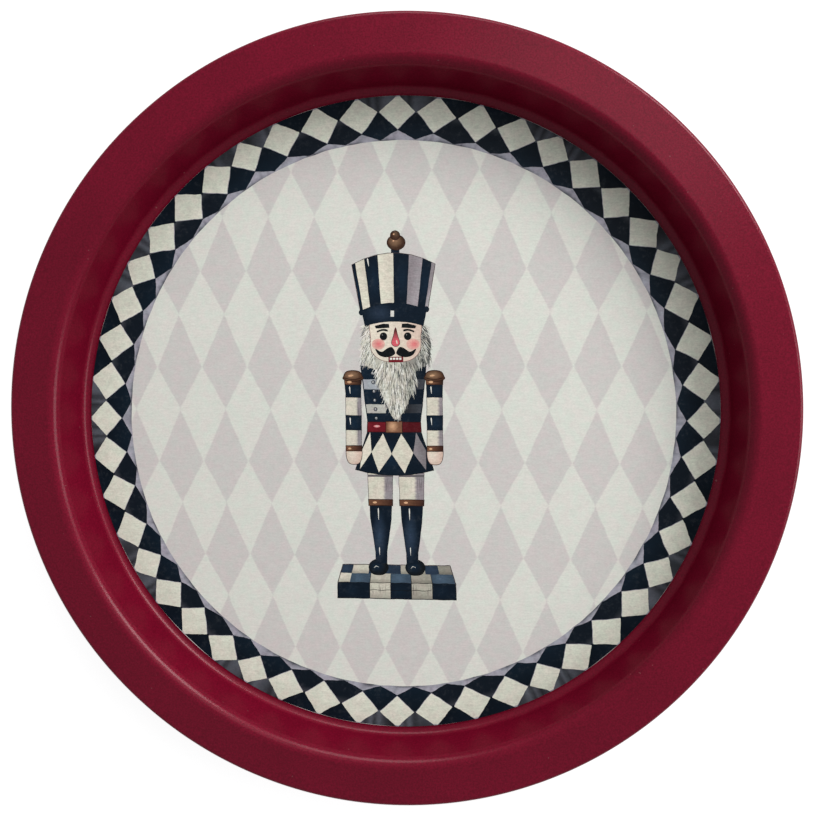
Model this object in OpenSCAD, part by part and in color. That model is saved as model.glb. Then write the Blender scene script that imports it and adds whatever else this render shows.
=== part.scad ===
// Round serving tray: a pressed sheet-steel pan with a steep wall, a flat brim and a curled
// edge, and a printed label stuck to its floor.
// Millimetres. The tray lies on z = 0 with its axis on Z; +Y is the top of the picture.

/* [Pan] */
// Overall diameter, over the curled edge
tray_d = 330; // [310:1:360]
// Thickness of the steel sheet
sheet_t = 0.5; // [0.4:0.05:0.7]
// Depth of the well, from the top of the brim down to the floor
well_depth = 21.5; // [14:0.5:32]
// Radius of the flat part of the floor
floor_r = 139.1; // [125:0.1:142]
// Angle between the wall and the vertical
wall_draft = 6; // [2:0.5:20]
// Inside radius of the bend between floor and wall
cove_r = 3.2; // [1.5:0.1:4.5]
// Outside radius of the bend between wall and brim
shoulder_r = 4.5; // [2:0.1:6]
// Fall of the brim below the horizontal, outwards
brim_slope = 3; // [0:0.5:6]

/* [Curled edge] */
// Outside radius of the curl
curl_r = 2; // [1.5:0.1:2.5]
// How far the sheet is turned round in the curl
curl_turn = 290; // [200:5:300]

/* [Label] */
// Bare floor left round the label, before the bend
label_gap = 0.6; // [0.2:0.1:10]
// Thickness of the adhesive under the print
adhesive_t = 0.05; // [0.03:0.01:0.1]
// Thickness of the printed film
print_t = 0.15; // [0.08:0.01:0.3]
// Thickness of the clear film over the print
laminate_t = 0.08; // [0.05:0.01:0.15]

/* [Hidden] */
$fn = 180;

bend_step = 5;                          // largest turn between two points of a bend
half_t = sheet_t / 2;
cove_mid_r = cove_r + half_t;           // radii of the bends at the middle of the sheet
shoulder_mid_r = shoulder_r - half_t;
curl_mid_r = curl_r - half_t;
wall_rise = 90 - wall_draft;            // heading of the wall, up from the horizontal
label_r = floor_r - label_gap;

// What a bend of radius r gains in height and in radius as its heading goes from a to b.
function bend_climb(r, a, b) = r * abs(cos(a) - cos(b));
function bend_run(r, a, b) = r * abs(sin(b) - sin(a));

wall_climb = well_depth - bend_climb(cove_mid_r, 0, wall_rise)
           - bend_climb(shoulder_mid_r, 0, wall_rise);
wall_l = wall_climb / sin(wall_rise);
brim_start_r = floor_r + bend_run(cove_mid_r, 0, wall_rise) + wall_l * cos(wall_rise)
             + bend_run(shoulder_mid_r, wall_rise, -brim_slope);
curl_start_r = tray_d / 2 - half_t - curl_mid_r * (1 - sin(brim_slope));
brim_l = (curl_start_r - brim_start_r) / cos(brim_slope);

// The section of the sheet from the axis outwards. A straight is [length, 0]; a bend is
// [radius at mid sheet, turn], where a positive turn is upwards.
section = [
    [floor_r, 0],
    [cove_mid_r, wall_rise],
    [wall_l, 0],
    [shoulder_mid_r, -wall_rise - brim_slope],
    [brim_l, 0],
    [curl_mid_r, -curl_turn],
];

// The point at distance d from p in the direction of a heading.
function ahead(p, heading, d) = p + d * [cos(heading), sin(heading)];

// A place on the section is [point, heading]. These give the place after a straight of
// length d, and after a bend of radius r and turn a.
function after_straight(at, d) = [ahead(at[0], at[1], d), at[1]];
function after_bend(at, r, a, side) = [
    ahead(ahead(at[0], at[1] + side * 90, r), at[1] + a - side * 90, r),
    at[1] + a
];

// All the places from step i on, with one every bend_step or less along the bends.
function places(at, i = 0) =
    i == len(section) ? [at] :
    let (size = section[i][0], turn = section[i][1])
    turn == 0 ? concat([at], places(after_straight(at, size), i + 1)) :
    let (side = sign(turn), n = ceil(abs(turn) / bend_step))
    concat([for (k = [0:n - 1]) after_bend(at, size, turn * k / n, side)],
           places(after_bend(at, size, turn, side), i + 1));

mid_sheet = places([[0, half_t], 0]);
upper_side = [for (at = mid_sheet) ahead(at[0], at[1] + 90, half_t)];
lower_side = [for (i = [len(mid_sheet) - 1:-1:0])
    ahead(mid_sheet[i][0], mid_sheet[i][1] - 90, half_t)];

// One sheet of steel, pressed and curled: floor, wall, shoulder, brim and edge.
module tray_pan() {
    color("#7a1626") rotate_extrude() polygon(concat(upper_side, lower_side));
}

// One round film of the label, lying from height z upwards.
module label_film(z, t) {
    translate([0, 0, sheet_t + z]) cylinder(r = label_r, h = t);
}

module label_adhesive() {
    color("#e8e2cf") label_film(0, adhesive_t);
}

module label_print() {
    color("#dcdcd3") label_film(adhesive_t, print_t);
}

module label_laminate() {
    color("#f4f6f5", 0.4) label_film(adhesive_t + print_t, laminate_t);
}

tray_pan();
label_adhesive();
label_print();
label_laminate();
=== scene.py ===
"""Round serving tray: a red powder-coated pan with a printed picture on its floor.

The picture is drawn in millimetres on the label, with +Y up the picture. Its colour areas are
triangulated together, so each printed part is one thin closed sheet.
"""

import math
import random

import bpy
import numpy as np
from mathutils import Matrix, Vector, noise
from mathutils.geometry import delaunay_2d_cdt


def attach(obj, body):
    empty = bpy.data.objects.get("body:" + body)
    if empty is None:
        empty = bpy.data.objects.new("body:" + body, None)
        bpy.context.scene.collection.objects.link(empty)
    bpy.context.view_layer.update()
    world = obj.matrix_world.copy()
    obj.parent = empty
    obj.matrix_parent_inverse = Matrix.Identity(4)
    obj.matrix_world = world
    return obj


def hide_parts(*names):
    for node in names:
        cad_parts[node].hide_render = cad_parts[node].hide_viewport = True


MM = 0.001
AROUND = 360  # faces round a turned piece
EDGE_SEED = 5  # for the wander of hand-painted edges
HAIR_SEED = 11  # for strands of hair and brush lines

# Pan, in millimetres, as in the CAD model
SHEET_T = 0.5
FLOOR_R = 139.1
COVE_R = 3.2
WELL_DEPTH = 21.5
WALL_DRAFT = 6
SHOULDER_R = 4.5
BRIM_SLOPE = 3
CURL_R = 2.0
CURL_TURN = 290
TRAY_R = 165

# Label, in millimetres
LABEL_R = 138.5
ADHESIVE_TOP = 0.55  # heights of its layers above the table
FILM_TOP = 0.66
PRINT_TOP = 0.70
FIGURE_TOP = 0.712

# Border: a motif of four cream diamonds, repeated round the label
BORDER_R = 119.9  # inner edge of the border
MOTIF_TURN = 30
NECK_ANGLES = (3.42, 11.06, 18.66, 26.36)  # where neighbouring cream diamonds meet
NECK_RADII = (132.1, 131.1, 131.1, 132.0)
TIP_ANGLES = (7.02, 14.24, 22.71, 29.89)  # inner tips of the cream diamonds
TIP_RADII = (123.3, 122.7, 123.4, 124.2)

# Harlequin ground
DIAMOND_W = 20.4
DIAMOND_H = 42.0
DIAMOND_TOP = 23.3  # part of the height above the widest point
GROUND_X = -0.35  # shift of the whole pattern
GROUND_Y = 23.1

# Painted figure
AXIS = -0.9  # middle of the hat and the legs
FACE_X = -0.3  # middle of the face, of the body and of the plinth
BODY_X = -1.4
PLINTH_X = -1.2
ARM_X = 17.9  # from the middle of the body to the middle of an arm
ARM_W = 6.7
LEG_X = 6.9  # from the axis to the middle of a leg
LEG_W = 11.0
LEAN = 0.011  # how far the figure leans to the left, per millimetre of height

# Studio, in metres, watts and degrees
LIGHTS = ((0, 30, 13.2), (45, 30, 30.4), (90, 30, 13.2), (60, 60, 3.2))  # azimuth, elevation, power
LIGHT_FAR = 2.2
LIGHT_SIZE = 0.99
LIGHT_COLOUR = (1.0, 1.0, 0.99)
SKY_COLOUR = (0.95, 0.97, 1.0)
SKY_LIGHT = 0.35
FLOOR_HALF = 3
FLOOR_Z = -0.0004  # a hair below the tray
FLOOR_GLOW = 0.86  # light that the floor gives off, so that it looks white
CAMERA_AT = (0.0299, 0.0149, 0.3520)
CAMERA_WAY = (-0.0715, -0.069, -0.995)
CAMERA_LENS = 35.52
CAMERA_SHIFT = (-0.001, 0.0418)

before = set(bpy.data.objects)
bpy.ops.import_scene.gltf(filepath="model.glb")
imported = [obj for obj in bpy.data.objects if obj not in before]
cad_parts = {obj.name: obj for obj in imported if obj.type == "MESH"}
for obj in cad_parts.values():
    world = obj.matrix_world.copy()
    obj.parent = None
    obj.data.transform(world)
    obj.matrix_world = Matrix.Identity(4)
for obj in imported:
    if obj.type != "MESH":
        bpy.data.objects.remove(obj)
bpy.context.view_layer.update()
noise.seed_set(EDGE_SEED)  # left unset, noise_vector differs from run to run


# ---------------------------------------------------------------- colours


def rgb(text):
    """A linear colour from a hex sRGB one."""
    parts = [int(text[i : i + 2], 16) / 255 for i in (0, 2, 4)]
    return np.array([p / 12.92 if p < 0.04045 else ((p + 0.055) / 1.055) ** 2.4 for p in parts])


NAVY = rgb("0a1927")
BLACK = rgb("0d1114")
STEEL_BLUE = rgb("3c5069")
CREAM = rgb("d6d1c1")
SHADE = rgb("938c90")
BRASS = rgb("7f5640")
BRASS_LIGHT = rgb("c99f7c")
BRASS_DARK = rgb("3a221b")
RED = rgb("741824")
RED_LIGHT = rgb("d4606a")
SKIN = rgb("e0c4b4")
SKIN_LIGHT = rgb("e6dccb")
BLUSH = rgb("dd6a70")
LINE = rgb("41363a")
WHITE = rgb("e9e8e0")
HAIR = rgb("d3d0c2")
HAIR_GREY = rgb("8c8d8a")
HAIR_DARK = rgb("3a3f42")
GROUND_PALE = rgb("dbdcd4")
GROUND_GREY = rgb("cecac7")
BORDER_CREAM = rgb("dadccd")
BORDER_NAVY = rgb("06121c")
CHARCOAL = rgb("0c1620")
SLATE = rgb("44484f")
LAVENDER = rgb("a6a5b0")
SKIN_LINE = rgb("7d5250")
NOSE_DARK = rgb("5c2a2a")
NOSE_LINE = rgb("4a1a1e")
HAND_LINE = rgb("4c3a38")
BAND_UPPER = rgb("a6abb1")
BAND_LOWER = rgb("b7b5ae")
BUTTON = rgb("74767d")
PLINTH_BLUE = rgb("435566")
WORN = rgb("8a8c8c")
FILM_WHITE = rgb("d9dad6")
GLUE = rgb("cfc9b6")
DUST = rgb("b08a88")

# Finish of the pan
PAN_RED = np.array([0.163, 0.0035, 0.0185])  # linear
PAN_METAL = 0.2
PAN_SPEC = 0.0  # its gloss comes from the clear coat alone
PAN_ROUGH = 0.5
PAN_COAT = 0.4
PAN_COAT_WALL = 0.08
WALL_REACH = (7, 9.5)  # distances from mid wall, in millimetres, between which the coat thickens
PAN_COAT_ROUGH = 0.24


# ---------------------------------------------------------------- inks
# An ink is a function from points, an array of x and y, to their colours.


def flat(colour):
    return lambda p: np.tile(colour, (len(p), 1))


def blend(a, b, t):
    t = np.clip(t, 0, 1)[:, None]
    return a * (1 - t) + b * t


def fade(a, b, start, end):
    """From a at the point start to b at the point end."""
    start, end = np.array(start, float), np.array(end, float)
    d = end - start
    return lambda p: blend(a, b, (p - start) @ d / (d @ d))


def glow(inner, outer, centre, rx, ry):
    """inner at the centre, outer from the ellipse outwards."""
    size = np.array([rx, ry], float)
    return lambda p: blend(inner, outer, np.linalg.norm((p - centre) / size, axis=1))


def rounded(light, dark, x0, x1, turn, soft):
    """A cylinder lit from the left: dark past the share `turn` of its width."""
    return lambda p: blend(light, dark, ((p[:, 0] - x0) / (x1 - x0) - turn) / soft + 0.5)


# ---------------------------------------------------------------- outlines


def warp(points, size, pitch, seed=0):
    """The points moved a little, as a hand-painted edge wanders. Shared edges stay shared."""
    moved = []
    for x, y in points:
        d = noise.noise_vector(Vector((x / pitch, y / pitch, seed)))
        moved.append((x + size * d.x, y + size * d.y))
    return moved


def fine(points, pitch=0.8):
    """A polygon with extra points along its straight edges."""
    out = []
    for (x0, y0), (x1, y1) in zip(points, points[1:] + points[:1]):
        n = max(1, round(math.hypot(x1 - x0, y1 - y0) / pitch))
        out += [(x0 + (x1 - x0) * k / n, y0 + (y1 - y0) * k / n) for k in range(n)]
    return out


def hand(points, size):
    """A hand-painted outline: it wanders slowly, and trembles a little."""
    return warp(warp(fine(points, 0.7), size, 5), size * 0.45, 0.9, 7)


def smooth(points, steps):
    """A closed curve through the points."""
    out = []
    n = len(points)
    for i in range(n):
        p = [np.array(points[(i + k) % n], float) for k in (-1, 0, 1, 2)]
        for s in range(steps):
            t = s / steps
            q = p[1] + 0.5 * t * (
                p[2] - p[0]
                + t * (2 * p[0] - 5 * p[1] + 4 * p[2] - p[3] + t * (3 * (p[1] - p[2]) + p[3] - p[0]))
            )
            out.append((q[0], q[1]))
    return out


def oval(x, y, rx, ry, turn=0, n=28):
    c, s = math.cos(math.radians(turn)), math.sin(math.radians(turn))
    out = []
    for k in range(n):
        a = 2 * math.pi * k / n
        u, v = rx * math.cos(a), ry * math.sin(a)
        out.append((x + c * u - s * v, y + s * u + c * v))
    return out


def box(x0, x1, y0, y1):
    return [(x0, y0), (x1, y0), (x1, y1), (x0, y1)]


def grown(points, d):
    """A polygon pushed outwards by d."""
    p = np.array(points, float)
    area = np.sum(p[:, 0] * np.roll(p[:, 1], -1) - np.roll(p[:, 0], -1) * p[:, 1])
    before = p - np.roll(p, 1, axis=0)
    after = np.roll(p, -1, axis=0) - p
    normals = []
    for e in (before, after):
        n = np.stack([e[:, 1], -e[:, 0]], 1)
        normals.append(n / np.maximum(np.linalg.norm(n, axis=1, keepdims=True), 1e-9))
    mean = normals[0] + normals[1]
    mean /= np.maximum(np.linalg.norm(mean, axis=1, keepdims=True), 1e-9)
    reach = 1 / np.maximum(np.sum(mean * normals[0], axis=1), 0.4)
    return [tuple(q) for q in p + mean * (reach * d * math.copysign(1, area))[:, None]]


def stroke(points, width, tip=0.2):
    """A brush stroke along the points, thickest near its start and running out to a tip."""
    line = np.array(points, float)
    way = np.gradient(line, axis=0)
    side = np.stack([-way[:, 1], way[:, 0]], 1)
    side /= np.maximum(np.linalg.norm(side, axis=1, keepdims=True), 1e-9)
    t = np.linspace(0, 1, len(line))
    half = 0.5 * width * np.maximum(np.minimum(1, 4 * t + 0.3) * (1 - t) ** 0.6, tip)[:, None]
    return [tuple(q) for q in np.vstack([line + side * half, (line - side * half)[::-1]])]


def polar(r, degrees):
    a = math.radians(degrees)
    return (r * math.cos(a), r * math.sin(a))


def circle(r, n):
    return [polar(r, 360 * k / n) for k in range(n)]


# ---------------------------------------------------------------- picture: border


def border_paints():
    """Lavender wash, a row of dark diamonds, dark wedges at the edge, then cream diamonds."""
    rim = LABEL_R + 1
    paints = [(circle(rim, 240), border_wash)]
    creams = []
    for motif in range(round(360 / MOTIF_TURN)):
        turn = motif * MOTIF_TURN
        for k in range(4):
            last_neck, neck_angle, next_neck = (motif_angle(NECK_ANGLES, k + d, turn) for d in (-1, 0, 1))
            last_tip, tip_angle = (motif_angle(TIP_ANGLES, k + d, turn) for d in (-1, 0))
            neck = polar(NECK_RADII[k], neck_angle)
            tip = polar(TIP_RADII[k], tip_angle)
            last_top = 0.5 * (neck_angle + last_neck)
            top = 0.5 * (neck_angle + next_neck)
            foot = polar(BORDER_R + 0.4, 0.5 * (last_tip + tip_angle))
            dark = [neck, polar(TIP_RADII[k - 1], last_tip), foot, tip]
            wedge = [polar(NECK_RADII[k] - 0.4, neck_angle), polar(rim, last_top), polar(rim, top)]
            solid = k in (0, 3)
            paints.append((hand(grown(fine(dark), 0.1), 0.28), dark_ink(solid, neck, foot)))
            paints.append((hand(grown(fine(wedge), 0.25), 0.28), wedge_ink(solid, neck, top)))
            cream = [
                neck,
                polar(LABEL_R - 0.2, top - 0.45),
                polar(LABEL_R - 0.2, top + 0.45),
                polar(NECK_RADII[(k + 1) % 4], next_neck),
                tip,
            ]
            creams.append((hand(grown(fine(cream), -0.3), 0.28), cream_ink(cream)))
    return paints + creams


def motif_angle(angles, k, turn):
    """The k-th angle of the motif at turn. Before the first and past the last, its neighbours' ones."""
    return angles[k % 4] + turn + MOTIF_TURN * (k // 4)


def border_wash(p):
    """Lavender, with a darker edge along the inner circle."""
    r = np.linalg.norm(p, axis=1)
    a = np.arctan2(p[:, 1], p[:, 0])
    edge = 0.9 * np.exp(-(((r - BORDER_R) / 0.8) ** 2)) * (0.5 + 0.5 * np.sin(a * 37 + 2 * np.sin(a * 11)))
    streaks = 0.3 * np.clip(np.sin(a * 151 + 3 * np.sin(a * 43) + 0.4 * r), 0, 1) ** 2
    return blend(LAVENDER, SLATE, edge + streaks)


def streaked(ink):
    """The ink with darker brush streaks pointing at the middle of the label."""

    def shaded(p):
        a = np.arctan2(p[:, 1], p[:, 0])
        return ink(p) * (0.8 + 0.4 * np.sin(a * 131 + 2 * np.sin(a * 57)))[:, None]

    return shaded


def dark_ink(solid, neck, foot):
    """Navy all over, or grey at the neck and charcoal below."""
    if solid:
        return fade(BORDER_NAVY, BORDER_NAVY * 1.8, neck, foot)
    middle = (np.array(neck) * 0.7 + np.array(foot) * 0.3).tolist()
    return fade(SLATE * 0.8, CHARCOAL, neck, middle)


def wedge_ink(grey, neck, top):
    """Streaky grey or plain navy, between two cream diamonds at the edge of the label."""
    if grey:
        return streaked(fade(SLATE * 0.3, SLATE * 1.4, polar(LABEL_R, top + 1.2), neck))
    return fade(BORDER_NAVY * 1.6, BORDER_NAVY, polar(LABEL_R, top), neck)


def cream_ink(points):
    return fade(BORDER_CREAM * 0.97, BORDER_CREAM * 1.03, points[2], points[-1])


# ---------------------------------------------------------------- picture: ground


def ground_paints():
    """A harlequin ground: grey diamonds on a pale wash, with a soft edge."""
    paints = [(circle(BORDER_R + 1, 240), flat(GROUND_PALE))]
    for column in range(-6, 7):
        x = DIAMOND_W * (column + 0.25) + GROUND_X
        for row in range(-4, 5):
            y = DIAMOND_H * row + GROUND_Y
            low = DIAMOND_H - DIAMOND_TOP
            half = DIAMOND_W / 2
            diamond = [(x + half, y), (x, y + DIAMOND_TOP), (x - half, y), (x, y - low)]
            for inset, share in ((-0.1, 0.35), (0.15, 0.7), (0.4, 1.0)):
                shape = hand(grown(fine(diamond, 2), -inset), 0.25)
                colour = GROUND_PALE * (1 - share) + GROUND_GREY * share
                paints.append((shape, flat(colour)))
    return paints


# ---------------------------------------------------------------- picture: figure


class Figure:
    """The shapes of the figure, in the order they are painted."""

    def __init__(self):
        self.paints = []
        self.dice = random.Random(HAIR_SEED)

    def area(self, points, ink):
        self.paints.append((points, ink))

    def inked(self, points, ink, width=0.28, line=LINE):
        """An area with a drawn outline."""
        self.area(grown(points, width), flat(line))
        self.area(points, ink)

    def glint(self, x, y, length, width, lean):
        """A small white reflection, running down from x, y."""
        line = [(x + lean * t * length, y - t * length) for t in np.linspace(0, 1, 7)]
        self.area(stroke(line, width), flat(WHITE))

    def hatch(self, x0, x1, y0, y1, count, tone, width=0.22):
        """Thin upright brush lines that give a turned part its roundness."""
        for _ in range(count):
            x = self.dice.uniform(x0, x1)
            low = self.dice.uniform(y0, 0.5 * (y0 + y1))
            high = self.dice.uniform(low + 0.3 * (y1 - y0), y1)
            sway = self.dice.uniform(-0.25, 0.25)
            line = [(x + sway * math.sin(3 * t), high + (low - high) * t) for t in np.linspace(0, 1, 5)]
            self.area(stroke(line, width), flat(tone))


def drum(axis, low, top, bows=(0, 0)):
    """A painted drum, from its half width and height at the bottom and top.

    It maps u across, from -1 to 1, and v up, from 0 to 1, onto the picture.
    """

    def at(u, v):
        half, height = (a + (b - a) * v for a, b in zip(low, top))
        return (axis + half * u, height + (bows[0] + (bows[1] - bows[0]) * v) * (1 - u * u))

    return at


def patch(at, u0=-1.0, u1=1.0, v0=0.0, v1=1.0):
    """The outline of a part of a drum."""
    steps = [k / 7 for k in range(7)]
    right = [at(u1, v0 + (v1 - v0) * t) for t in steps]
    top = [at(u1 + (u0 - u1) * t, v1) for t in steps]
    left = [at(u0, v1 + (v0 - v1) * t) for t in steps]
    return right + top + left + [at(u0 + (u1 - u0) * t, v0) for t in steps]


def seam(k, n):
    """Where the k-th of n even seams round the visible half of a drum is seen, from -1 to 1."""
    return math.sin(math.pi * (k / n - 0.5))


def mirrored(points, axis):
    """A closed outline from its right half, given from the top down."""
    return [(axis + x, y) for x, y in points] + [(axis - x, y) for x, y in reversed(points) if x > 0]


def finial(f):
    """A turned wooden knob on the hat."""
    f.area(hand(box(AXIS - 0.9, AXIS + 2.7, 71.0, 74.6), 0.1), flat(NAVY))
    for x, y, rx, ry, tone in ((1.3, 76.6, 3.8, 3.1, 0.5), (0.9, 79.7, 1.9, 1.8, 0.25)):
        ink = glow(BRASS_LIGHT * tone, BRASS * 0.22, (AXIS + x - 0.35 * rx, y + 0.6), rx * 0.85, ry * 0.95)
        f.inked(oval(AXIS + x, y, rx, ry), ink, 0.3, BRASS_DARK * 0.5)
        f.area(oval(AXIS + x - 0.3 * rx, y + 0.25 * ry, 0.4, 0.3, 40, 10), flat(BRASS_LIGHT * 1.2))


def hat(f):
    """A tall drum hat, wider at the top, with even stripes and a glossy band."""
    at = drum(AXIS, (14.6, 47.4), (18.0, 67.2), (3.0, 4.9))
    f.inked(patch(at), flat(CREAM))
    stripes = 8
    for k in range(stripes):
        u0, u1 = seam(k, stripes), seam(k + 1, stripes)
        middle = at((u0 + u1) / 2, 0.5)
        if k % 2 == 0:
            ink = glow(NAVY * 1.7, NAVY * 0.9, middle, 4, 10)
        elif k < stripes / 2:
            ink = fade(CREAM * 1.1, CREAM * 0.95, at(u0, 0.5), at(u1, 0.5))
        else:
            ink = fade(SHADE * 0.9, SHADE * 1.3, at(u0, 0.5), at(u1, 0.5))
        f.area(hand(patch(at, u0, u1), 0.12), ink)
    f.glint(AXIS - 11.3, 70.0, 3.4, 0.7, 0.16)

    at = drum(AXIS, (12.7, 41.0), (14.0, 47.4), (1.9, 3.3))
    for side in (-1, 1):
        f.area(oval(AXIS + side * 14.2, 47.3 + side * 0.6, 1.2, 1.3), flat(NAVY))
    f.inked(hand(patch(at), 0.1), glow(STEEL_BLUE * 0.45, NAVY, (AXIS - 6.5, 46.2), 7, 4.5), 0.2, NAVY)
    f.area(hand(box(AXIS - 1.4, AXIS + 0.1, 44.8, 47.4), 0.15), flat(WHITE * 0.85))


def hair(f):
    """Loose hair on both sides of the face, and a long beard below it."""
    half = [(0, 42), (11.4, 41.2), (14.2, 37), (15.2, 32), (15, 27), (13.2, 23.6), (9, 21.4), (7.8, 15),
            (5.8, 9.4), (4, 4.9), (2, 1.6), (0, 0)]
    backing = fade(HAIR * 0.8, HAIR_GREY * 0.5, (-2, 20), (13, 22))
    f.area(hand(smooth(mirrored(half, FACE_X), 4), 0.5), backing)
    for _ in range(1050):
        if f.dice.random() < 0.5:  # beside the face
            side = f.dice.choice((-1, 1))
            y = f.dice.uniform(25, 42)
            x = side * f.dice.uniform(9, 13.2 + 0.12 * (42 - y))
            way = -90 + side * (8 + (y - 25) * 2.2 + f.dice.uniform(-8, 14))
            length = f.dice.uniform(2.0, 4.2)
        else:  # in the beard
            down = f.dice.random()
            y = 26 - 22.5 * down
            x = f.dice.uniform(-1, 1) * (0.8 + 8.4 * (1 - down**2.6))
            way = -90 + x * (3.0 - 2.6 * down) + f.dice.uniform(-9, 9)
            length = f.dice.uniform(2.4, 4.8)
        lit = 1.0 if x < 4 else 0.72
        tone, width = f.dice.choices(
            ((WHITE, 0.42), (HAIR, 0.5), (HAIR_GREY, 0.32), (HAIR_DARK * 0.6, 0.24)),
            (32, 24, 14, 30) if x < 4 else (24, 18, 20, 38),
        )[0]
        f.area(lock(f, FACE_X + x, y, way, length, width), flat(tone * lit))


def lock(f, x, y, way, length, width):
    """One strand that bends a little on its way."""
    bend = f.dice.uniform(-26, 26)
    points = []
    for k in range(6):
        points.append((x, y))
        a = math.radians(way + bend * k / 5)
        x += math.cos(a) * length / 5
        y += math.sin(a) * length / 5
    return stroke(points, width)


def face(f):
    """A plain painted doll's face: brows, round eyes, wedge nose, cheeks and moustache."""
    head = mirrored([(0, 44), (10.4, 43), (10.9, 36), (10.5, 30), (6.6, 26.2), (0, 25.2)], FACE_X)
    skin = rounded(SKIN_LIGHT, SKIN * 0.92, FACE_X - 11, FACE_X + 11, 0.7, 0.9)
    f.inked(smooth(head, 5), skin, 0.22, SKIN_LINE)
    for s in (-1, 1):
        rouge = glow(BLUSH, BLUSH * 0.3 + SKIN * 0.7, (FACE_X + s * 7.8, 32.9), 2.6, 2.3)
        f.area(oval(FACE_X + s * 7.6, 32.9, 2.9, 2.4), rouge)
        brow = [(2.6, 40.0), (8.6, 39.7), (9.1, 40.9), (5.4, 41.8), (2.8, 41.7)]
        f.area(hand([(FACE_X + s * x, y) for x, y in brow], 0.1), flat(BLACK))
        lid = [(FACE_X + s * (3.4 + 0.95 * k), 38.2 + 0.9 * math.sin(0.6 + k * 0.5)) for k in range(6)]
        f.area(stroke(lid, 1.1, 0.7), flat(BLACK))
        f.area(oval(FACE_X + s * 5.3, 36.3, 1.65, 1.7), flat(BLACK))
        f.area(oval(FACE_X + s * 5.3 - 0.5, 36.9, 0.25, 0.2, n=8), flat(HAIR_GREY))
    nose = mirrored([(0, 39.8), (0.8, 36.6), (1.7, 33.6), (1.0, 32.3), (0, 32.0)], FACE_X)
    f.inked(smooth(nose, 4), fade(RED_LIGHT, NOSE_DARK, (FACE_X, 34.6), (FACE_X, 38.6)), 0.25, NOSE_LINE)
    f.area(oval(FACE_X + 0.5, 33.8, 0.3, 0.9, 12, 10), flat(SKIN_LIGHT))
    for s in (-1, 1):
        wing = [(0.3, 29.6), (1.6, 31.6), (3.6, 31.2), (6.2, 29.6), (8.9, 30.9), (7.6, 28.3), (4.8, 27.2),
                (2, 27.6), (0.4, 28.6)]
        f.area(smooth([(FACE_X + s * x, y) for x, y in wing], 4), flat(BLACK))
    f.inked(hand(box(FACE_X - 3.1, FACE_X + 3.1, 25.1, 27.3), 0.1), flat(RED), 0.12, RED * 0.4)
    for k in range(4):
        f.area(box(FACE_X - 2.6 + 1.35 * k, FACE_X - 1.6 + 1.35 * k, 26.1, 27.0), flat(WHITE))


def arm(f, axis):
    """A jointed wooden arm in bands, with a shoulder cap, a cuff and a mitten hand."""
    w = ARM_W / 2
    hose = drum(axis, (w, -12.6), (w, 10.4))
    f.inked(hand(patch(hose), 0.12), rounded(CREAM, SHADE, axis - w, axis + w, 0.74, 0.08), 0.2)
    f.hatch(axis + 0.5 * w, axis + 0.95 * w, -12, 9, 5, SHADE * 0.55)
    for low, high in ((9.6, 15.6), (-4.8, 1.9)):
        f.area(hand(patch(drum(axis, (w + 0.1, low), (w + 0.3, high))), 0.15),
               glow(NAVY * 1.9, NAVY * 0.9, (axis, (low + high) / 2), 4, 4))
        f.glint(axis - 1.6, high - 1.1, 3.2, 0.6, 0.08)
    collar = patch(drum(axis, (w + 0.1, 15.4), (w + 0.4, 18.2)))
    f.inked(hand(collar, 0.12), rounded(BRASS * 0.8, BRASS_DARK * 0.6, axis - w, axis + w, 0.6, 0.7), 0.3,
            BRASS_DARK * 0.6)
    cap = mirrored([(0, 21.3), (2.9, 20.7), (w + 0.6, 18.9), (w + 0.9, 17.9), (2.4, 17.1), (0, 16.9)], axis)
    f.inked(smooth(cap, 4), glow(BRASS_LIGHT * 0.55, BRASS * 0.35, (axis - 0.8, 19.4), 4.0, 2.2), 0.35,
            BRASS_DARK * 0.6)
    groove = [(axis + (w + 0.6) * u, 18.3 - 0.7 * (1 - u * u)) for u in np.linspace(-1, 1, 9)]
    f.area(stroke(groove, 0.3, 1), flat(BRASS_DARK * 0.5))
    f.area(oval(axis - 1.0, 19.2, 1.1, 0.4, 8), flat(BRASS_LIGHT * 1.1))
    f.area(oval(axis - 1.6, 16.4, 1.0, 0.5), flat(BRASS_LIGHT * 1.1))
    mitten = mirrored([(0, -13.4), (w - 0.2, -13.6), (w - 0.1, -16.8), (2.2, -19.2), (0, -19.8)], axis)
    f.inked(smooth(mitten, 5), glow(SKIN_LIGHT, SKIN * 0.86, (axis - 0.8, -16), 4, 4.4), 0.28, HAND_LINE)
    cuff = patch(drum(axis, (w, -13.8), (w, -11.8)))
    brass = rounded(BRASS * 0.9, BRASS_DARK, axis - w, axis + w, 0.5, 0.8)
    f.inked(hand(cuff, 0.1), brass, 0.35, BRASS_DARK * 0.5)
    f.area(oval(axis - 1.9, -12.9, 0.7, 0.4), flat(BRASS_LIGHT * 1.15))


def coat(f):
    """A short coat in wide bands, with a button row beside the beard."""
    at = drum(BODY_X, (11.6, -2.0), (14.4, 23.4))
    f.inked(hand(patch(at), 0.12), fade(NAVY * 1.3, NAVY * 0.8, (-13, 0), (12, 0)), 0.15, NAVY * 0.8)
    for v0, v1, light in ((0.60, 0.77, BAND_UPPER), (0.19, 0.34, BAND_LOWER)):
        f.area(hand(patch(at, -0.98, -0.3, v0, v1), 0.15), flat(light))
        f.area(hand(patch(at, 0.3, 0.98, v0, v1), 0.15), fade(SLATE * 0.35, SLATE * 0.95, (5, 0), (12, 0)))
    for k in range(6):
        x, y = at(-0.66, 0.1 + 0.155 * k)
        f.inked(oval(x, y, 0.6, 0.65, n=14), flat(BUTTON), 0.25, BLACK)
        f.area(oval(x - 0.1, y + 0.15, 0.25, 0.25, n=8), flat(WHITE))


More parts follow.
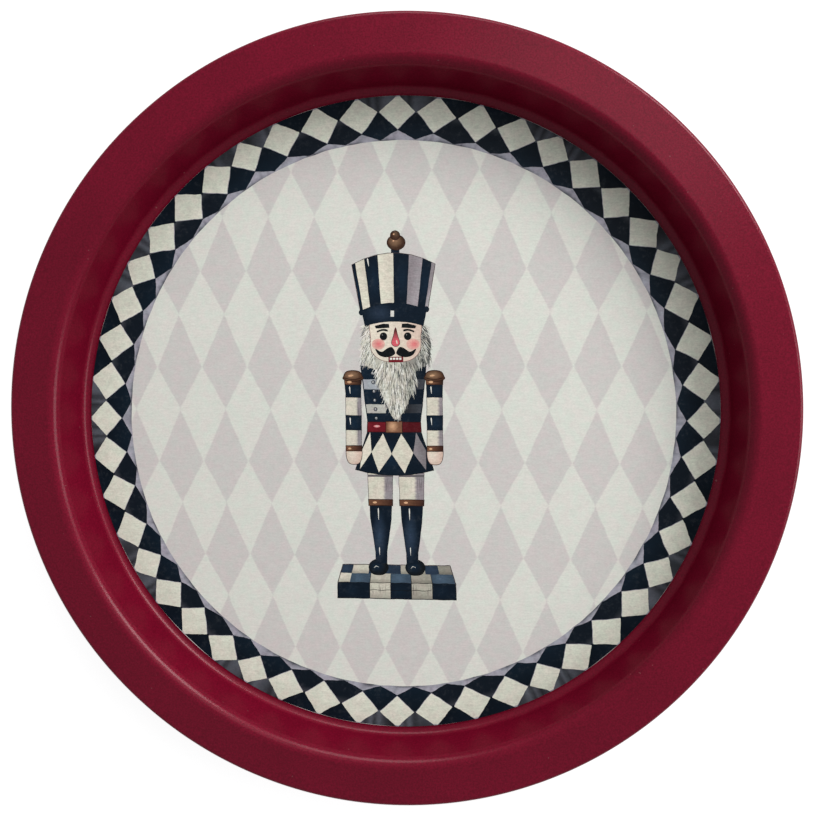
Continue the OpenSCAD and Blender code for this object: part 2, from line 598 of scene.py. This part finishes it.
def skirt(f):
    """A short flared skirt with a row of cream diamonds."""
    at = drum(BODY_X, (17.2, -22.2), (11.6, -5.0), (-2.4, -0.8))
    f.inked(hand(patch(at), 0.12), glow(NAVY * 1.8, NAVY * 0.85, (BODY_X - 2, -17), 9, 8), 0.25, BLACK)
    diamonds = 4
    for k in range(diamonds):
        left, middle, right = (seam(k + 0.13 + d, diamonds + 0.5) for d in (0, 0.5, 1.0))
        shape = [at(middle, 0.97), at(right, 0.5), at(middle, 0.04), at(left, 0.5)]
        if k < diamonds - 1:
            ink = flat(CREAM * (1.1 - 0.05 * k))
        else:
            ink = fade(SHADE * 0.95, SHADE * 0.6, shape[3], shape[1])
        f.area(hand(fine(shape), 0.15), ink)


def belt(f):
    """A dark red belt with a brass buckle."""
    at = drum(BODY_X, (11.8, -5.4), (11.6, -1.3))
    red = rounded(RED * 0.85, RED * 0.45, BODY_X - 11.7, BODY_X + 11.7, 0.55, 0.4)
    f.inked(hand(patch(at), 0.1), red, 0.3, RED * 0.2)
    f.area(oval(BODY_X - 7.6, -3.0, 1.5, 0.55), glow(WHITE, RED_LIGHT, (BODY_X - 7.6, -3.0), 1.5, 0.6))
    buckle = hand(patch(drum(BODY_X, (3.5, -5.7), (3.4, -1.0))), 0.1)
    brass = glow(BRASS_LIGHT * 1.2, BRASS * 0.9, (BODY_X - 0.6, -3.0), 2.6, 3.0)
    f.inked(buckle, brass, 0.3, BRASS_DARK * 0.7)


def leg(f, axis, outwards):
    """Hose, a brass ring, a tall boot and a turned-out foot."""
    w = LEG_W / 2
    hose = drum(axis, (w - 0.3, -35.6), (w, -23.8))
    f.inked(hand(patch(hose), 0.12), rounded(CREAM, SHADE, axis - w, axis + w, 0.68, 0.06), 0.2)
    f.hatch(axis + 0.4 * w, axis + 0.95 * w, -35.4, -25, 9, SHADE * 0.55)
    f.hatch(axis - 0.9 * w, axis + 0.3 * w, -35.4, -25, 5, CREAM * 0.8, 0.16)
    f.area(hand(patch(drum(axis, (w, -25.4), (w, -24.4))), 0.05), flat(SHADE * 0.45))
    toe = axis + outwards * 1.3
    f.area(smooth(mirrored([(0, -62.0), (3.4, -63.4), (4.5, -66.2), (2.8, -68.9), (0, -69.5)], toe), 4),
           glow(NAVY * 1.8, BLACK, (toe, -65.6), 4.4, 3.4))
    boot = mirrored([(0, -37.8), (w - 0.5, -37.8), (w - 0.8, -44), (w - 1.7, -51), (w - 2.8, -59),
                     (w - 2.9, -64), (0, -64.6)], axis)
    f.area(hand(fine(boot), 0.12), glow(STEEL_BLUE * 0.6, NAVY * 0.9, (axis - 0.2, -52), 3.4, 12))
    f.area(stroke([(toe - 2.0, -66.2), (toe - 1.2, -65.3), (toe + 0.2, -65.8)], 0.45), flat(WHITE * 0.85))
    f.glint(axis - 1.1, -39.3, 5.2, 0.6, 0.02)
    f.glint(axis - 0.8, -56.8, 3.6, 0.45, 0.02)
    ring = patch(drum(axis, (w - 0.3, -38.0), (w - 0.2, -35.6)))
    brass = rounded(BRASS * 0.7, BRASS_DARK, axis - w, axis + w, 0.7, 0.6)
    f.inked(hand(ring, 0.1), brass, 0.3, BRASS_DARK * 0.6)
    f.area(oval(axis - 2.6, -36.8, 0.9, 0.45), flat(BRASS_LIGHT * 1.2))


def plinth(f):
    """A flat checkered block, seen a little from above."""
    top = drum(PLINTH_X, (26.2, -72.9), (23.8, -64.9))
    side = drum(PLINTH_X, (26.4, -79.9), (26.2, -72.9))
    front = (-1, -0.455, -0.1, 0.255, 0.61, 1)
    middle = (-1, -0.8, -0.455, -0.1, 0.255, 0.61, 1)
    back = (-1, -0.8, -0.5, 0.08, 0.52, 0.77, 1)
    f.inked(hand(fine(patch(side)), 0.15), flat(NAVY), 0.35, BLACK)
    f.inked(hand(fine(patch(top)), 0.15), flat(CREAM), 0.35, LINE)
    for seams, at, v0, v1, dark_first, dark in (
        (front, side, 0, 1, True, NAVY),
        (middle, top, 0.0, 0.52, False, PLINTH_BLUE),
        (back, top, 0.52, 1.0, True, STEEL_BLUE * 0.45),
    ):
        for k, (u0, u1) in enumerate(zip(seams, seams[1:])):
            spot = at((u0 + u1) / 2, (v0 + v1) / 2)
            if (k % 2 == 0) == dark_first:
                ink = glow(dark * 1.3, dark * 0.85, spot, 4, 3)
            else:
                tone = CREAM * (1.0 - 0.12 * k)
                ink = fade(tone * 0.6, tone, at(0, v0), at(0, v0 + 0.5 * (v1 - v0)))
            f.area(hand(fine(patch(at, u0, u1, v0, v1)), 0.15), ink)
            if at is side and k % 2:
                f.hatch(at(u0, 0)[0], at(u1, 0)[0], -79.6, -73.2, 12, LINE, 0.14)
    for u in front[1:-1]:
        f.area(stroke([at(u, v) for at in (side, top) for v in (0, 0.25, 0.5)], 0.25, 1), flat(BLACK))
    for y, low, high in ((-72.9, -26.5, 24.5), (-76.2, -13, 14)):
        crack = [(x, y + 0.15 * math.sin(x)) for x in np.linspace(low, high, 30)]
        f.area(stroke(crack, 0.25, 1), flat(BLACK))


def figure_paints():
    """A toy soldier nutcracker on a checkered plinth."""
    f = Figure()
    plinth(f)
    for s in (-1, 1):
        leg(f, AXIS + s * LEG_X, s)
    skirt(f)
    coat(f)
    belt(f)
    for s in (-1, 1):
        arm(f, BODY_X + s * ARM_X)
    hair(f)
    face(f)
    finial(f)
    hat(f)
    return [([(x - LEAN * y, y) for x, y in points], ink) for points, ink in f.paints]


# ---------------------------------------------------------------- printed sheets


def inside(points, polygon):
    """Which of the points lie inside the polygon."""
    x, y = points[:, 0], points[:, 1]
    hit = np.zeros(len(points), bool)
    q = np.array(polygon, float)
    for (x0, y0), (x1, y1) in zip(q, np.roll(q, -1, axis=0)):
        if y0 != y1:
            crosses = (y0 > y) != (y1 > y)
            hit ^= crosses & (x < (x1 - x0) * (y - y0) / (y1 - y0) + x0)
    return hit


def grid_points(points, pitch):
    """A staggered grid over the box of the points, so that inks can fade between them."""
    low, high = points.min(0), points.max(0)
    out = []
    for row in range(int((high[1] - low[1]) / pitch)):
        shift = pitch * (0.25 + 0.5 * (row % 2))
        for column in range(int((high[0] - low[0]) / pitch)):
            out.append((low[0] + shift + column * pitch, low[1] + (row + 0.5) * pitch))
    return out


def printed_sheet(name, paints, heights, material, pitch, outer=None, inner=None):
    """A thin closed sheet whose upper face is divided into the colour areas of the paints.

    It lies between two heights, and is cut along the outer and the inner outline.
    """
    loops = [p for p, _ in paints] + [p for p in (outer, inner) if p]
    verts, edges = [], []
    for loop in loops:
        n = len(verts)
        verts += loop
        edges += [(n + i, n + (i + 1) % len(loop)) for i in range(len(loop))]
    verts += grid_points(np.array(verts), pitch)
    made = delaunay_2d_cdt([Vector(v) for v in verts], edges, [], 0, 1e-4)
    co = np.array([tuple(v) for v in made[0]])
    tris = np.array(made[2])
    middle = co[tris].mean(axis=1)
    owner = np.full(len(tris), -1)
    for i, (polygon, _) in enumerate(paints):
        q = np.array(polygon)
        near = np.flatnonzero(((middle >= q.min(0)) & (middle <= q.max(0))).all(axis=1))
        owner[near[inside(middle[near], polygon)]] = i
    keep = owner >= 0
    if outer:
        keep &= inside(middle, outer)
    if inner:
        keep &= ~inside(middle, inner)
    tris, owner = tris[keep], owner[keep]
    colours = np.zeros((len(tris), 3, 3))
    for i in np.unique(owner):
        chosen = owner == i
        colours[chosen] = paints[i][1](co[tris[chosen]].reshape(-1, 2)).reshape(-1, 3, 3)
    return sheet_object(name, co, tris, colours, heights, material)


def sheet_object(name, co, tris, colours, heights, material):
    """Builds the closed sheet: coloured triangles above, plain ones below, and its cut edge."""
    low, top = heights
    used, tris = np.unique(tris, return_inverse=True)
    tris = tris.reshape(-1, 3)
    co = co[used]
    n = len(co)
    counts = {}
    for a, b, c in tris.tolist():
        for e in ((a, b), (b, c), (c, a)):
            counts[e] = counts.get(e, 0) + 1
    rim = [e for e in counts if (e[1], e[0]) not in counts]
    faces = tris.tolist() + (tris[:, ::-1] + n).tolist()
    faces += [(b, a, a + n, b + n) for a, b in rim]
    points = [(x * MM, y * MM, top * MM) for x, y in co] + [(x * MM, y * MM, low * MM) for x, y in co]
    mesh = bpy.data.meshes.new(name)
    mesh.from_pydata(points, [], faces)
    ink = mesh.color_attributes.new("ink", "FLOAT_COLOR", "CORNER")
    values = np.ones((len(ink.data), 4), np.float32)
    values[:, :3] = FILM_WHITE
    values[: len(tris) * 3, :3] = colours.reshape(-1, 3)
    ink.data.foreach_set("color", values.ravel())
    mesh.materials.append(material)
    return add_object(name, mesh)


def add_object(name, mesh):
    ob = bpy.data.objects.new(name, mesh)
    bpy.context.scene.collection.objects.link(ob)
    return ob


# ---------------------------------------------------------------- pan


def pan_section():
    """The closed section of the sheet, as radius and height in millimetres."""
    half = SHEET_T / 2
    rise = 90 - WALL_DRAFT
    cove, shoulder, curl = COVE_R + half, SHOULDER_R - half, CURL_R - half
    climb = WELL_DEPTH - (cove + shoulder) * (1 - math.cos(math.radians(rise)))
    wall = climb / math.sin(math.radians(rise))
    slope = math.radians(BRIM_SLOPE)
    brim_start = FLOOR_R + cove * math.sin(math.radians(rise)) + wall * math.cos(math.radians(rise))
    brim_start += shoulder * (math.sin(math.radians(rise)) + math.sin(slope))
    curl_start = TRAY_R - half - curl * (1 - math.sin(slope))
    brim = (curl_start - brim_start) / math.cos(slope)
    steps = (
        (FLOOR_R, 0),
        (cove, rise),
        (wall, 0),
        (shoulder, -rise - BRIM_SLOPE),
        (brim, 0),
        (curl, -CURL_TURN),
    )
    # rings near the ends of each straight keep the smooth shading of the bends off it
    places = []
    at, heading = complex(0, half), 0.0
    for size, turn in steps:
        if turn == 0:
            way = complex(math.cos(math.radians(heading)), math.sin(math.radians(heading)))
            shares = (0, 0.35, 0.7, 0.985) if size == FLOOR_R else (0, 0.03, 0.25, 0.5, 0.75, 0.97)
            places += [(at + way * size * s, heading) for s in shares]
            at += way * size
        else:
            side = math.copysign(90, turn)
            centre = at + size * unit(heading + side)
            n = math.ceil(abs(turn) / 4)
            for k in range(n):
                h = heading + turn * k / n
                places.append((centre + size * unit(h - side), h))
            heading += turn
            at = centre + size * unit(heading - side)
    places.append((at, heading))
    upper = [p + half * unit(h + 90) for p, h in places]
    lower = [p + half * unit(h - 90) for p, h in places]
    return [(p.real, p.imag) for p in upper + lower[::-1]]


def unit(degrees):
    a = math.radians(degrees)
    return complex(math.cos(a), math.sin(a))


def turned(name, section, material, smooth_shaded):
    """The section turned about Z. Its first and last points lie on the axis."""
    inner = section[1:-1]
    n = len(inner)
    points = [(0, 0, section[0][1] * MM), (0, 0, section[-1][1] * MM)]
    for k in range(AROUND):
        c, s = math.cos(2 * math.pi * k / AROUND), math.sin(2 * math.pi * k / AROUND)
        points += [(r * c * MM, r * s * MM, z * MM) for r, z in inner]
    faces = []
    for k in range(AROUND):
        a, b = 2 + k * n, 2 + (k + 1) % AROUND * n
        faces.append((0, a, b))
        faces += [(a + i, a + i + 1, b + i + 1, b + i) for i in range(n - 1)]
        faces.append((a + n - 1, 1, b + n - 1))
    mesh = bpy.data.meshes.new(name)
    mesh.from_pydata(points, [], faces)
    mesh.materials.append(material)
    mesh.polygons.foreach_set("use_smooth", [smooth_shaded] * len(mesh.polygons))
    mesh.update()
    return add_object(name, mesh)


# ---------------------------------------------------------------- materials


class Nodes:
    """A material's node tree with one Principled shader."""

    def __init__(self, name, **settings):
        self.material = bpy.data.materials.new(name)
        self.material.use_nodes = True
        self.tree = self.material.node_tree
        self.shader = self.tree.nodes["Principled BSDF"]
        self.position = self.add("ShaderNodeTexCoord").outputs["Object"]
        for socket, value in settings.items():
            self.shader.inputs[socket.replace("_", " ")].default_value = value

    def add(self, kind, **inputs):
        node = self.tree.nodes.new(kind)
        for socket, value in inputs.items():
            self.put(node.inputs[socket], value)
        return node

    def put(self, socket, value):
        if isinstance(value, bpy.types.NodeSocket):
            self.tree.links.new(value, socket)
        else:
            socket.default_value = value

    def noise(self, size_mm, detail=2.0, rough=0.5, stretch=1.0):
        """Noise from 0 to 1 whose features are about size_mm across, and stretched along X."""
        place = self.vector("MULTIPLY", self.position, (1 / stretch, 1, 1))
        node = self.add("ShaderNodeTexNoise", Vector=place, Scale=1 / (size_mm * MM), Detail=detail)
        node.inputs["Roughness"].default_value = rough
        return node.outputs["Fac"]

    def math(self, operation, a, b=0.0):
        node = self.tree.nodes.new("ShaderNodeMath")
        node.operation = operation
        self.put(node.inputs[0], a)
        self.put(node.inputs[1], b)
        return node.outputs[0]

    def span(self, value, low, high, start=0.3, end=0.7):
        """value from start to end, as a number from low to high.

        Left out, start and end are the range that noise mostly keeps to.
        """
        node = self.tree.nodes.new("ShaderNodeMapRange")
        for socket, v in zip(node.inputs, (value, start, end, low, high)):
            self.put(socket, v)
        return node.outputs[0]

    def around_one(self, pattern, depth):
        """A factor from 1 - depth to 1 + depth that follows a noise pattern."""
        return self.span(pattern, 1 - depth, 1 + depth)

    def mix(self, factor, a, b):
        node = self.tree.nodes.new("ShaderNodeMix")
        node.data_type = "RGBA"
        self.put(node.inputs["Factor"], factor)
        for socket, value in ((node.inputs[6], a), (node.inputs[7], b)):
            self.put(socket, (*value, 1) if isinstance(value, (tuple, np.ndarray)) else value)
        return node.outputs[2]

    def vector(self, operation, a, b):
        node = self.tree.nodes.new("ShaderNodeVectorMath")
        node.operation = operation
        self.put(node.inputs[0], a)
        self.put(node.inputs[1], b)
        return node.outputs[0]

    def scaled(self, colour, factor):
        node = self.tree.nodes.new("ShaderNodeVectorMath")
        node.operation = "SCALE"
        self.put(node.inputs[0], colour)
        self.put(node.inputs["Scale"], factor)
        return node.outputs[0]

    def bump(self, height, distance_mm, strength, normal=None):
        node = self.add("ShaderNodeBump", Height=height, Distance=distance_mm * MM, Strength=strength)
        if normal is not None:
            self.put(node.inputs["Normal"], normal)
        return node.outputs["Normal"]


def powder_coat():
    """Deep red powder coat with a metallic depth: satin, with a fine orange peel.

    The clear coat is thin on the wall, which therefore mirrors little of the label.
    """
    m = Nodes("powder_coat", IOR=1.5, Metallic=PAN_METAL, Specular_IOR_Level=PAN_SPEC,
              Coat_Roughness=PAN_COAT_ROUGH)
    height = m.add("ShaderNodeSeparateXYZ", Vector=m.position).outputs["Z"]
    off_wall = m.math("ABSOLUTE", m.math("SUBTRACT", height, 0.5 * WELL_DEPTH * MM))
    near, far = (d * MM for d in WALL_REACH)
    m.put(m.shader.inputs["Coat Weight"], m.span(off_wall, PAN_COAT_WALL, PAN_COAT, near, far))
    patch = m.noise(28, 3)
    fleck = m.noise(0.7, 1)
    peel = m.noise(1.3, 2, 0.55)
    dust = m.span(m.noise(1.2, 0), 0, 1, 0.86, 0.9)
    base = m.mix(m.span(patch, 0, 1), tuple(PAN_RED * 0.94), tuple(PAN_RED * 1.06))
    base = m.scaled(base, m.span(fleck, 0.8, 1.2))
    base = m.mix(m.math("MULTIPLY", dust, 0.2), base, tuple(DUST))
    m.put(m.shader.inputs["Base Color"], base)
    m.put(m.shader.inputs["Roughness"], m.span(patch, PAN_ROUGH - 0.03, PAN_ROUGH + 0.03))
    coarse = m.bump(peel, 0.05, 0.5)
    surface = m.bump(fleck, 0.03, 0.7, coarse)
    m.put(m.shader.inputs["Normal"], surface)
    m.put(m.shader.inputs["Coat Normal"], surface)
    return m.material


def print_ink(name, mottle, grain, wash):
    """Printed colours under a finely grained clear film, mottled like a watercolour."""
    m = Nodes(name, IOR=1.45, Specular_IOR_Level=0.14)
    ink = m.add("ShaderNodeVertexColor")
    ink.layer_name = "ink"
    cloud = m.noise(6, 3)
    streak = m.noise(1.5, 3, 0.6)
    fibre = m.noise(0.5, 1, stretch=1.6)
    ripple = m.noise(0.7, 2, stretch=7)
    tint = m.mix(m.span(m.noise(4, 2), 0, 1, 0.35, 0.65), (1.03, 0.985, 0.99), (0.98, 1.01, 0.99))
    level = m.around_one(cloud, mottle)
    for pattern, depth in ((streak, mottle), (fibre, grain), (ripple, 0.7 * grain)):
        level = m.math("MULTIPLY", level, m.around_one(pattern, depth))
    colour = m.scaled(m.vector("MULTIPLY", ink.outputs["Color"], tint), level)
    worn = m.math("MULTIPLY", m.span(streak, 0, wash, 0.5, 0.72), m.span(cloud, 0, 1, 0.45, 0.6))
    m.put(m.shader.inputs["Base Color"], m.mix(worn, colour, tuple(WORN)))
    m.put(m.shader.inputs["Roughness"], m.span(fibre, 0.42, 0.56))
    m.put(m.shader.inputs["Normal"], m.bump(fibre, 0.02, 0.5))
    return m.material


def plain_film(name, colour, roughness):
    """One colour with a faint fibre in it."""
    m = Nodes(name, Roughness=roughness)
    fibre = m.noise(0.5, 1)
    tone = m.mix(m.span(fibre, 0, 1), tuple(colour * 0.95), tuple(colour))
    m.put(m.shader.inputs["Base Color"], tone)
    m.put(m.shader.inputs["Normal"], m.bump(fibre, 0.01, 0.4))
    return m.material


def floor_material():
    """A pale floor that gives off a little light of its own."""
    m = Nodes("studio_floor", Roughness=0.9, Emission_Strength=FLOOR_GLOW)
    m.shader.inputs["Emission Color"].default_value = (1, 1, 1, 1)
    m.put(m.shader.inputs["Base Color"], m.mix(m.noise(60), (0.30, 0.30, 0.30), (0.32, 0.32, 0.32)))
    return m.material


# ---------------------------------------------------------------- the tray


def make_pan():
    pan = turned("pan_shell", pan_section(), powder_coat(), True)
    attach(pan, "root")
    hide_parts("tray_pan")


def cut_edge(n=720):
    """The label's printed edge: cut by hand, so it falls a little short of the film in places."""
    out = []
    for k in range(n):
        x, y = polar(1, 360 * k / n)
        short = 0.35 * max(0.0, noise.noise(Vector((x * 5, y * 5, 3.0))))
        out.append(polar(LABEL_R - 0.02 - short, 360 * k / n))
    return out


def make_label():
    """The white film, the border and the ground printed on it, and the figure on top."""
    film_section = [(0, FILM_TOP), (LABEL_R, FILM_TOP), (LABEL_R, ADHESIVE_TOP), (0, ADHESIVE_TOP)]
    film = turned("label_film", film_section, plain_film("film_white", FILM_WHITE, 0.5), False)
    border_edge = warp(circle(BORDER_R, 480), 0.25, 5)
    printed, painted = (FILM_TOP, PRINT_TOP), (PRINT_TOP, FIGURE_TOP)
    border_ink = print_ink("border_ink", 0.06, 0.07, 0.06)
    ground_ink = print_ink("ground_ink", 0.01, 0.045, 0.0)
    figure_ink = print_ink("figure_ink", 0.06, 0.10, 0.05)
    border = printed_sheet("print_border", border_paints(), printed, border_ink, 1.3, cut_edge(), border_edge)
    ground = printed_sheet("print_ground", ground_paints(), printed, ground_ink, 6, border_edge)
    figure = printed_sheet("print_figure", figure_paints(), painted, figure_ink, 1.0)
    for piece, nodes in (
        (film, ("label_print",)),
        (border, ("label_laminate",)),
        (ground, ("label_laminate",)),
        (figure, ()),
    ):
        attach(piece, "root")
        if nodes:
            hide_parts(*nodes)
    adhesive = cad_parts["label_adhesive"]
    adhesive.data.materials.clear()
    adhesive.data.materials.append(plain_film("adhesive", GLUE, 0.6))


# ---------------------------------------------------------------- studio


def window(azimuth, elevation, power):
    """A square light that faces the tray."""
    name = "window_%d" % azimuth
    light = bpy.data.lights.new(name, "AREA")
    light.shape = "RECTANGLE"
    light.size = light.size_y = LIGHT_SIZE
    light.energy = power
    light.color = LIGHT_COLOUR
    ob = add_object(name, light)
    ob.location = sky(azimuth, elevation, LIGHT_FAR)
    ob.rotation_euler = (Vector() - ob.location).to_track_quat("-Z", "Y").to_euler()


def make_studio():
    mesh = bpy.data.meshes.new("studio_floor")
    corners = box(-FLOOR_HALF, FLOOR_HALF, -FLOOR_HALF, FLOOR_HALF)
    mesh.from_pydata([(x, y, 0) for x, y in corners], [], [(0, 1, 2, 3)])
    mesh.materials.append(floor_material())
    floor = add_object("studio_floor", mesh)
    floor.location.z = FLOOR_Z
    world = bpy.data.worlds.new("studio")
    bpy.context.scene.world = world
    world.use_nodes = True
    background = world.node_tree.nodes["Background"]
    background.inputs["Color"].default_value = (*SKY_COLOUR, 1)
    background.inputs["Strength"].default_value = SKY_LIGHT
    for azimuth, elevation, power in LIGHTS:
        window(azimuth, elevation, power)


def sky(azimuth, elevation, distance):
    """A place around the tray, from its direction in degrees."""
    a, e = math.radians(azimuth), math.radians(elevation)
    return Vector((math.cos(e) * math.cos(a), math.cos(e) * math.sin(a), math.sin(e))) * distance


def make_camera():
    """The camera looks down into the tray from a little above and to the right of its axis."""
    view = Vector(CAMERA_WAY).normalized()
    right = view.cross(Vector((0, 1, 0))).normalized()
    up = right.cross(view)
    camera = bpy.data.cameras.new("camera")
    camera.sensor_width = 36
    camera.lens = CAMERA_LENS
    camera.shift_x, camera.shift_y = CAMERA_SHIFT
    camera.clip_start = 0.01
    ob = add_object("camera", camera)
    turn = Matrix((right, up, -view)).transposed().to_4x4()
    ob.matrix_world = Matrix.Translation(CAMERA_AT) @ turn
    bpy.context.scene.camera = ob
    bpy.context.scene.view_settings.view_transform = "Standard"


make_camera()
make_studio()
make_pan()
make_label()
